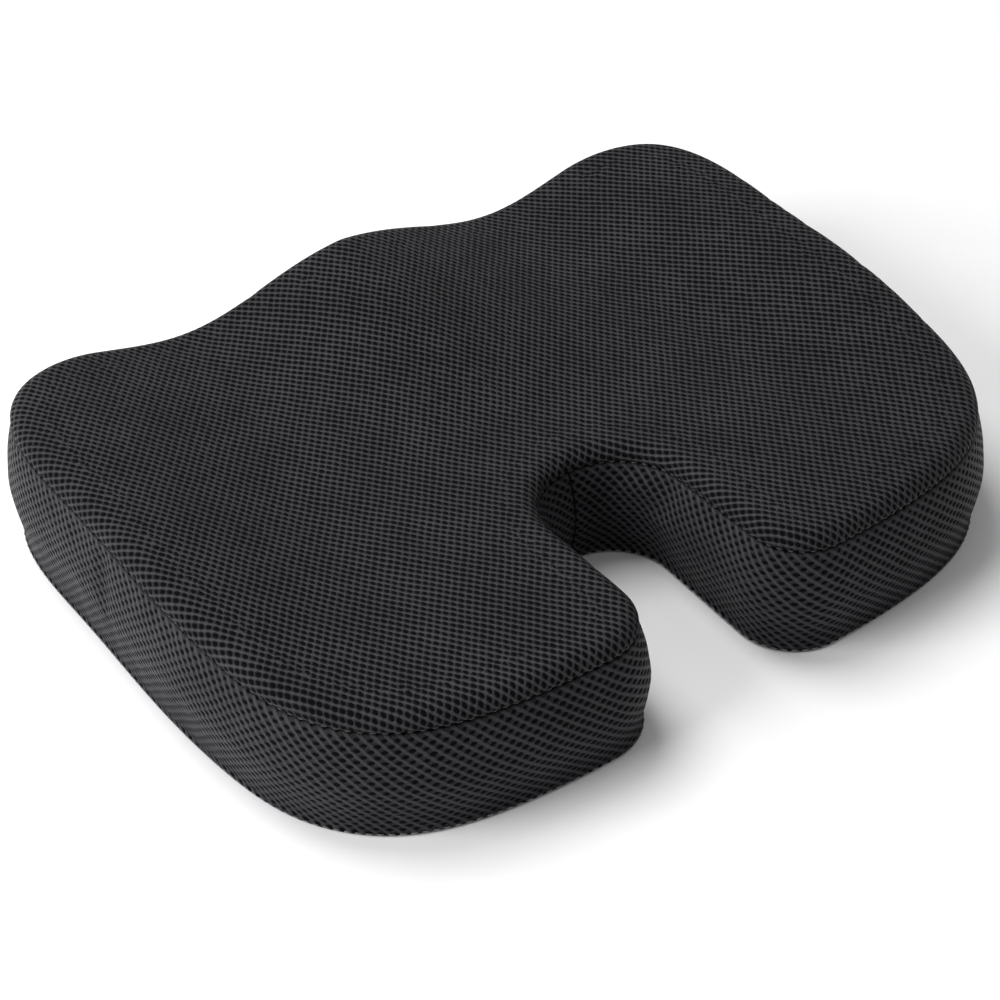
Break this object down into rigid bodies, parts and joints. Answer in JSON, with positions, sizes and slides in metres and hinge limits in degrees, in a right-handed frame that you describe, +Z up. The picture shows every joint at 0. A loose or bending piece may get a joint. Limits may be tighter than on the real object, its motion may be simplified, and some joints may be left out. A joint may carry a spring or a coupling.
{
  "type": "seat cushion",
  "caption": "Contoured foam seat cushion with a tailbone notch, black mesh cover, front zip and carry handle",
  "frame": {"origin": "centre of the flat underside, on the floor plane", "axes": "+Z up, +X across the hips to the sitter's left when the sitter faces -Y, +Y to the rear where the tailbone notch opens, -Y to the front edge with the zip and the handle"},
  "size_m": [0.4508, 0.3581, 0.0813],
  "materials": {
    "foam": "moulded open-cell memory foam",
    "spacer_mesh": "black spacer mesh with oval holes, matte",
    "base_fabric": "black anti-slip fabric, matte",
    "zip_tape": "black woven tape",
    "zip_teeth": "black nylon, semi-gloss",
    "zip_metal": "black enamel on die-cast zinc, worn edges",
    "webbing": "black woven webbing",
    "label": "blank woven satin label"
  },
  "bodies": {
    "cushion": {"foam_core": "foam", "top_panel": "spacer_mesh", "side_band_right": "spacer_mesh", "side_band_left": "spacer_mesh", "front_band_upper": "spacer_mesh", "front_band_lower": "spacer_mesh", "base_panel": "base_fabric", "zip_tape_upper": "zip_tape", "zip_tape_lower": "zip_tape", "zip_teeth_upper": "zip_teeth", "zip_teeth_lower": "zip_teeth", "zip_top_stops": "zip_metal", "zip_bottom_stop": "zip_metal", "carry_handle": "webbing", "care_label": "label"},
    "slider": {"zip_slider": "zip_metal"},
    "pull_tab": {"zip_pull_tab": "zip_metal"}
  },
  "joints": [
    {"name": "zip_slide", "type": "slide", "parent": "cushion", "child": "slider", "axis": [-1, 0, 0], "range_m": [0, 0.26], "deforming": ["zip_teeth_upper", "zip_teeth_lower"]},
    {"name": "zip_pull", "type": "hinge", "parent": "slider", "child": "pull_tab", "pos_m": [0.1342, -0.1662, 0.015], "axis": [0, 0, 1], "range_deg": [0, 175]}
  ]
}
